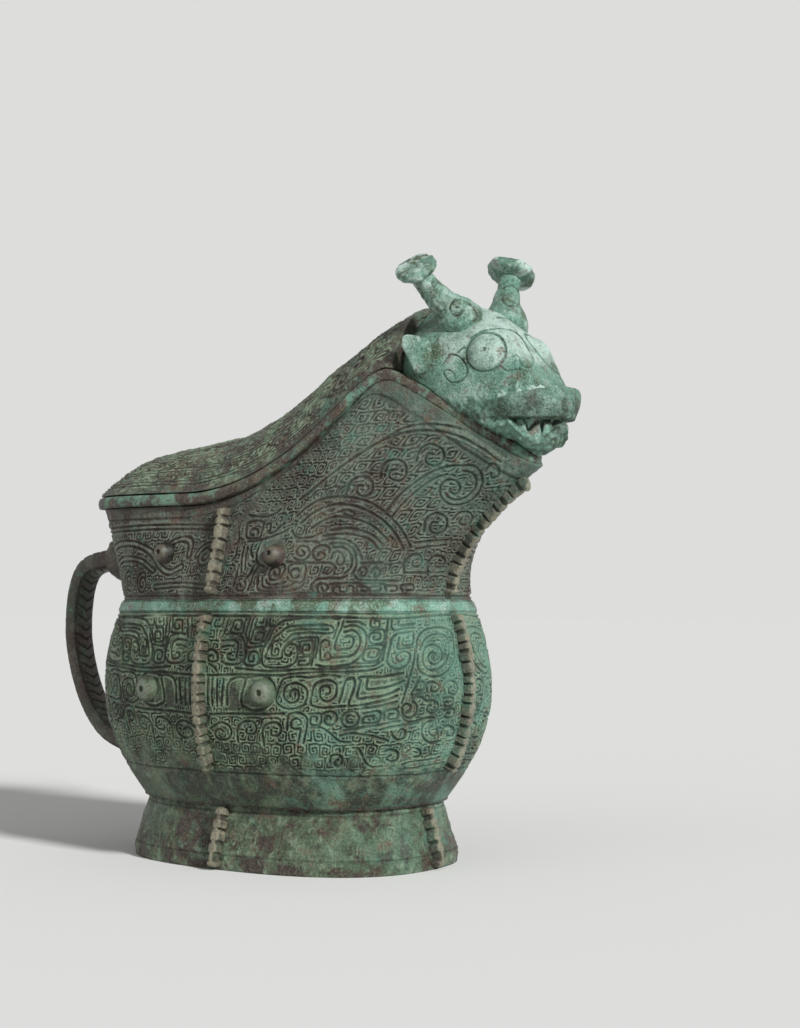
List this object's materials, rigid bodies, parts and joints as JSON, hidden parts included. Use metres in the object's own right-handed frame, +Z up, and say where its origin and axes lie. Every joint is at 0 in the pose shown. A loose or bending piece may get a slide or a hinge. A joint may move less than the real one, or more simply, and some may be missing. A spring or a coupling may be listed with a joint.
{
  "type": "bronze guang vessel",
  "caption": "Covered bronze wine vessel in the shape of a beast, with an oval foot, a swelling belly, a pouring spout, a loop handle and a lift-off lid with a horned head.",
  "frame": {"origin": "middle of the foot's oval on the standing plane, which is the bottom middle of the whole box", "axes": "+X the way the beast looks and pours, +Y its left side, +Z up"},
  "size_m": [0.252, 0.122, 0.2364],
  "materials": {
    "green_patina": "cast bronze with a matt green and brown patina",
    "pale_patina": "cast bronze with a pale mint green patina",
    "dark_bronze": "cast bronze with a worn brown patina"
  },
  "bodies": {
    "vessel": {"vessel_body": "green_patina", "foot_ring": "green_patina", "belly_rib_front": "dark_bronze", "belly_rib_left": "dark_bronze", "belly_rib_right": "dark_bronze", "neck_rib_front": "dark_bronze", "neck_rib_left": "dark_bronze", "neck_rib_right": "dark_bronze", "foot_rib_front": "dark_bronze", "foot_rib_left": "dark_bronze", "foot_rib_rear": "dark_bronze", "foot_rib_right": "dark_bronze", "belly_boss_left_front": "green_patina", "belly_boss_left_rear": "green_patina", "belly_boss_right_front": "green_patina", "belly_boss_right_rear": "green_patina", "neck_boss_left_front": "dark_bronze", "neck_boss_left_rear": "dark_bronze", "neck_boss_right_front": "dark_bronze", "neck_boss_right_rear": "dark_bronze", "handle_strap": "dark_bronze", "handle_head": "dark_bronze", "handle_ear_left": "dark_bronze", "handle_ear_right": "dark_bronze"},
    "lid": {"lid_rim": "green_patina", "lid_vault": "green_patina", "beast_head": "pale_patina", "eye_left": "pale_patina", "eye_right": "pale_patina", "horn_left": "pale_patina", "horn_right": "pale_patina", "horn_cap_left": "pale_patina", "horn_cap_right": "pale_patina", "ear_left": "pale_patina", "ear_right": "pale_patina", "teeth_lower": "pale_patina", "teeth_upper": "pale_patina"}
  },
  "joints": [
    {"name": "lid_lift", "type": "slide", "parent": "vessel", "child": "lid", "axis": [0, 0, 1], "range_m": [0, 0.12]}
  ]
}
